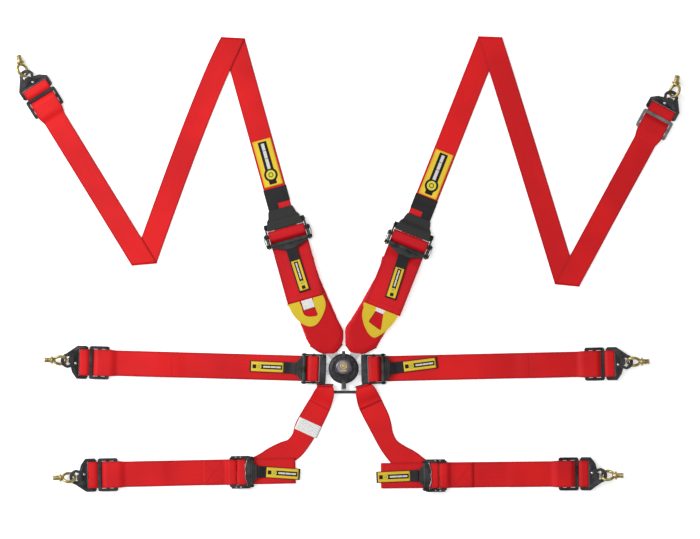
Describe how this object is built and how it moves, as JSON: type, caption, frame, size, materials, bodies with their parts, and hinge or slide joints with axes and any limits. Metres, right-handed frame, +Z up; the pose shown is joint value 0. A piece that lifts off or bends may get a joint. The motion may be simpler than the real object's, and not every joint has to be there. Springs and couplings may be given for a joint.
{
  "type": "racing harness",
  "caption": "Racing harness laid out flat: rotary cam-lock buckle, padded shoulder straps with pull loops, lap and leg straps with pull-tab adjusters, snap hooks and eye bolts.",
  "frame": {"origin": "centre of the buckle's back face, on the floor", "axes": "harness laid flat: +X towards the right lap anchor, +Y towards the shoulder straps, +Z up out of the buckle"},
  "size_m": [1.3, 0.8909, 0.0248],
  "materials": {
    "buckle_black": "textured black casting",
    "lever_black": "satin black lever",
    "bright_steel": "bright plated steel",
    "yellow_zinc": "yellow zinc plated steel",
    "sleeve_red": "padded woven nylon sleeve",
    "tab_black": "black nylon tab with a sewn label",
    "webbing_red": "woven polyester harness webbing",
    "chrome_slide": "plated steel slide",
    "black_hardware": "black coated pressed steel"
  },
  "bodies": {
    "buckle": {"buckle_base": "buckle_black", "buckle_housing": "buckle_black", "return_spring": "bright_steel", "left_lap_tongue": "bright_steel", "left_lap_adjuster": "black_hardware", "left_lap_strap": "webbing_red", "left_lap_slide": "black_hardware"},
    "lever": {"release_lever": "lever_black"},
    "lock_pins": {"lock_pins": "bright_steel"},
    "right_lap": {"right_lap_tongue": "bright_steel", "right_lap_adjuster": "black_hardware", "right_lap_strap": "webbing_red", "right_lap_slide": "black_hardware"},
    "crotch_link": {"crotch_tongue": "bright_steel"},
    "left_leg": {"left_leg_strap": "webbing_red", "left_leg_adjuster": "black_hardware", "left_leg_slide": "black_hardware"},
    "left_shoulder": {"left_shoulder_tongue": "bright_steel", "left_shoulder_sleeve": "sleeve_red", "left_shoulder_lower_strap": "webbing_red", "left_shoulder_adjuster": "black_hardware", "left_shoulder_strap_near": "webbing_red"},
    "left_fold_middle": {"left_shoulder_strap_middle": "webbing_red"},
    "left_fold_far": {"left_shoulder_strap_far": "webbing_red", "left_shoulder_slide": "black_hardware"},
    "right_leg": {"right_leg_strap": "webbing_red", "right_leg_adjuster": "black_hardware", "right_leg_slide": "black_hardware"},
    "right_shoulder": {"right_shoulder_tongue": "bright_steel", "right_shoulder_sleeve": "sleeve_red", "right_shoulder_lower_strap": "webbing_red", "right_shoulder_adjuster": "black_hardware", "right_shoulder_strap_near": "webbing_red"},
    "right_fold_middle": {"right_shoulder_strap_middle": "webbing_red"},
    "right_fold_far": {"right_shoulder_strap_far": "webbing_red", "right_shoulder_slide": "chrome_slide"},
    "left_lap_hook": {"left_lap_hook": "black_hardware"},
    "left_lap_gate": {"left_lap_gate": "black_hardware"},
    "left_lap_eye_bolt": {"left_lap_eye_bolt": "yellow_zinc"},
    "right_lap_hook": {"right_lap_hook": "black_hardware"},
    "right_lap_gate": {"right_lap_gate": "black_hardware"},
    "right_lap_eye_bolt": {"right_lap_eye_bolt": "yellow_zinc"},
    "left_leg_hook": {"left_leg_hook": "black_hardware"},
    "left_leg_gate": {"left_leg_gate": "black_hardware"},
    "left_leg_eye_bolt": {"left_leg_eye_bolt": "yellow_zinc"},
    "right_leg_hook": {"right_leg_hook": "black_hardware"},
    "right_leg_gate": {"right_leg_gate": "black_hardware"},
    "right_leg_eye_bolt": {"right_leg_eye_bolt": "yellow_zinc"},
    "left_shoulder_hook": {"left_shoulder_hook": "black_hardware"},
    "left_shoulder_gate": {"left_shoulder_gate": "black_hardware"},
    "left_shoulder_eye_bolt": {"left_shoulder_eye_bolt": "yellow_zinc"},
    "right_shoulder_hook": {"right_shoulder_hook": "black_hardware"},
    "right_shoulder_gate": {"right_shoulder_gate": "black_hardware"},
    "right_shoulder_eye_bolt": {"right_shoulder_eye_bolt": "yellow_zinc"},
    "left_lap_tab": {"left_lap_tab": "tab_black"},
    "right_lap_tab": {"right_lap_tab": "tab_black"},
    "left_leg_tab": {"left_leg_tab": "tab_black"},
    "right_leg_tab": {"right_leg_tab": "tab_black"},
    "left_shoulder_tab": {"left_shoulder_tab": "tab_black"},
    "right_shoulder_tab": {"right_shoulder_tab": "tab_black"}
  },
  "joints": [
    {"name": "lever_turn", "type": "hinge", "parent": "buckle", "child": "lever", "pos_m": [0, 0, 0.016], "axis": [0, 0, 1], "range_deg": [0, 45], "stiffness_Nm_per_rad": 0.2},
    {"name": "pins_lift", "type": "slide", "parent": "buckle", "child": "lock_pins", "axis": [0, 0, 1], "range_m": [0, 0.0024]},
    {"name": "right_lap_release", "type": "slide", "parent": "buckle", "child": "right_lap", "axis": [0.9997, 0.0227, 0], "range_m": [0, 0.045]},
    {"name": "crotch_release", "type": "slide", "parent": "buckle", "child": "crotch_link", "axis": [0, -1, 0], "range_m": [0, 0.045]},
    {"name": "left_shoulder_release", "type": "slide", "parent": "buckle", "child": "left_shoulder", "axis": [-0.6157, 0.788, 0], "range_m": [0, 0.045]},
    {"name": "right_shoulder_release", "type": "slide", "parent": "buckle", "child": "right_shoulder", "axis": [0.6157, 0.788, 0], "range_m": [0, 0.045]},
    {"name": "left_leg_swing", "type": "hinge", "parent": "crotch_link", "child": "left_leg", "pos_m": [0.001, -0.046, 0.0046], "axis": [-1, 0, 0], "range_deg": [0, 75]},
    {"name": "left_top_fold", "type": "hinge", "parent": "left_shoulder", "child": "left_fold_middle", "pos_m": [-0.217, 0.647, 0.00155], "axis": [-0.9987, 0.0514, 0], "range_deg": [0, 120]},
    {"name": "left_bottom_fold", "type": "hinge", "parent": "left_fold_middle", "child": "left_fold_far", "pos_m": [-0.391, 0.205, 0.00155], "axis": [0.9961, 0.0881, 0], "range_deg": [0, 150]},
    {"name": "right_leg_swing", "type": "hinge", "parent": "crotch_link", "child": "right_leg", "pos_m": [0.001, -0.046, 0.0046], "axis": [-1, 0, 0], "range_deg": [0, 75]},
    {"name": "right_top_fold", "type": "hinge", "parent": "right_shoulder", "child": "right_fold_middle", "pos_m": [0.287, 0.6488, 0.00155], "axis": [-0.9993, 0.0377, 0], "range_deg": [0, 120]},
    {"name": "right_bottom_fold", "type": "hinge", "parent": "right_fold_middle", "child": "right_fold_far", "pos_m": [0.4378, 0.164, 0.00155], "axis": [0.9952, -0.0978, 0], "range_deg": [0, 150]},
    {"name": "left_lap_hook_swing", "type": "hinge", "parent": "buckle", "child": "left_lap_hook", "pos_m": [-0.5043, 0.01219, 0.00375], "axis": [0.0279, 0.9996, 0], "range_deg": [-8, 60]},
    {"name": "left_lap_gate_open", "type": "hinge", "parent": "left_lap_hook", "child": "left_lap_gate", "pos_m": [-0.52454, 0.01075, 0.00731], "axis": [-0.1736, 0.0048, -0.9848], "range_deg": [0, 18], "stiffness_Nm_per_rad": 0.02},
    {"name": "left_lap_eye_turn", "type": "hinge", "parent": "left_lap_hook", "child": "left_lap_eye_bolt", "pos_m": [-0.55383, 0.01657, 0.0125], "axis": [0.0902, -0.7689, 0.633], "range_deg": [-50, 50]},
    {"name": "right_lap_hook_swing", "type": "hinge", "parent": "right_lap", "child": "right_lap_hook", "pos_m": [0.51737, 0.00954, 0.00375], "axis": [0.0227, -0.9997, 0], "range_deg": [-8, 60]},
    {"name": "right_lap_gate_open", "type": "hinge", "parent": "right_lap_hook", "child": "right_lap_gate", "pos_m": [0.5376, 0.008, 0.00731], "axis": [-0.1736, -0.0039, 0.9848], "range_deg": [0, 18], "stiffness_Nm_per_rad": 0.02},
    {"name": "right_lap_eye_turn", "type": "hinge", "parent": "right_lap_hook", "child": "right_lap_eye_bolt", "pos_m": [0.56692, 0.01367, 0.0125], "axis": [0.0942, 0.7684, -0.633], "range_deg": [-50, 50]},
    {"name": "left_leg_hook_swing", "type": "hinge", "parent": "left_leg", "child": "left_leg_hook", "pos_m": [-0.48744, -0.20834, 0.00375], "axis": [-0.0209, 0.9998, 0], "range_deg": [-8, 60]},
    {"name": "left_leg_gate_open", "type": "hinge", "parent": "left_leg_hook", "child": "left_leg_gate", "pos_m": [-0.50766, -0.20677, 0.00731], "axis": [0.1736, 0.0036, 0.9848], "range_deg": [0, 18], "stiffness_Nm_per_rad": 0.02},
    {"name": "left_leg_eye_turn", "type": "hinge", "parent": "left_leg_hook", "child": "left_leg_eye_bolt", "pos_m": [-0.537, -0.21238, 0.0125], "axis": [-0.0956, -0.7682, -0.633], "range_deg": [-50, 50]},
    {"name": "right_leg_hook_swing", "type": "hinge", "parent": "right_leg", "child": "right_leg_hook", "pos_m": [0.46648, -0.20598, 0.00375], "axis": [0.0105, -0.9999, 0], "range_deg": [-8, 60]},
    {"name": "right_leg_gate_open", "type": "hinge", "parent": "right_leg_hook", "child": "right_leg_gate", "pos_m": [0.48665, -0.20377, 0.00731], "axis": [0.1736, 0.0018, -0.9848], "range_deg": [0, 18], "stiffness_Nm_per_rad": 0.02},
    {"name": "right_leg_eye_turn", "type": "hinge", "parent": "right_leg_hook", "child": "right_leg_eye_bolt", "pos_m": [0.51615, -0.20846, 0.0125], "axis": [-0.1196, 0.7648, 0.633], "range_deg": [-50, 50]},
    {"name": "left_shoulder_hook_swing", "type": "hinge", "parent": "left_fold_far", "child": "left_shoulder_hook", "pos_m": [-0.59876, 0.54271, 0.00375], "axis": [0.8517, 0.524, 0], "range_deg": [-8, 60]},
    {"name": "left_shoulder_gate_open", "type": "hinge", "parent": "left_shoulder_hook", "child": "left_shoulder_gate", "pos_m": [-0.60764, 0.56095, 0.00731], "axis": [0.091, -0.1479, 0.9848], "range_deg": [0, 18], "stiffness_Nm_per_rad": 0.02},
    {"name": "left_shoulder_eye_turn", "type": "hinge", "parent": "left_shoulder_hook", "child": "left_shoulder_eye_bolt", "pos_m": [-0.62732, 0.58341, 0.0125], "axis": [-0.7109, -0.3063, -0.633], "range_deg": [-74, 26]},
    {"name": "right_shoulder_hook_swing", "type": "hinge", "parent": "right_fold_far", "child": "right_shoulder_hook", "pos_m": [0.62079, 0.50103, 0.00375], "axis": [0.8788, -0.4772, 0], "range_deg": [-8, 60]},
    {"name": "right_shoulder_gate_open", "type": "hinge", "parent": "right_shoulder_hook", "child": "right_shoulder_gate", "pos_m": [0.62867, 0.51972, 0.00731], "axis": [0.0829, 0.1526, -0.9848], "range_deg": [0, 18], "stiffness_Nm_per_rad": 0.02},
    {"name": "right_shoulder_eye_turn", "type": "hinge", "parent": "right_shoulder_hook", "child": "right_shoulder_eye_bolt", "pos_m": [0.64711, 0.54321, 0.0125], "axis": [-0.7265, 0.2674, 0.633], "range_deg": [-76, 24]},
    {"name": "left_lap_tab_lift", "type": "hinge", "parent": "buckle", "child": "left_lap_tab", "pos_m": [-0.07747, 0.00026, 0.0075], "axis": [0.0279, 0.9996, 0], "range_deg": [0, 60]},
    {"name": "right_lap_tab_lift", "type": "hinge", "parent": "right_lap", "child": "right_lap_tab", "pos_m": [0.07748, -0.00044, 0.0075], "axis": [0.0227, -0.9997, 0], "range_deg": [0, 60]},
    {"name": "left_leg_tab_lift", "type": "hinge", "parent": "left_leg", "child": "left_leg_tab", "pos_m": [-0.1805, -0.20191, 0.0075], "axis": [0.0209, -0.9998, 0], "range_deg": [0, 60]},
    {"name": "right_leg_tab_lift", "type": "hinge", "parent": "right_leg", "child": "right_leg_tab", "pos_m": [0.1595, -0.20919, 0.0075], "axis": [-0.0105, 0.9999, 0], "range_deg": [0, 60]},
    {"name": "left_shoulder_tab_lift", "type": "hinge", "parent": "left_shoulder", "child": "left_shoulder_tab", "pos_m": [-0.10602, 0.24918, 0.009], "axis": [-0.9632, -0.2689, 0], "range_deg": [0, 60]},
    {"name": "right_shoulder_tab_lift", "type": "hinge", "parent": "right_shoulder", "child": "right_shoulder_tab", "pos_m": [0.12319, 0.2343, 0.009], "axis": [-0.9298, 0.3681, 0], "range_deg": [0, 60]}
  ],
  "couplings": [
    {"joint": "pins_lift", "follows": "lever_turn", "m_per_rad": 0.00305}
  ]
}
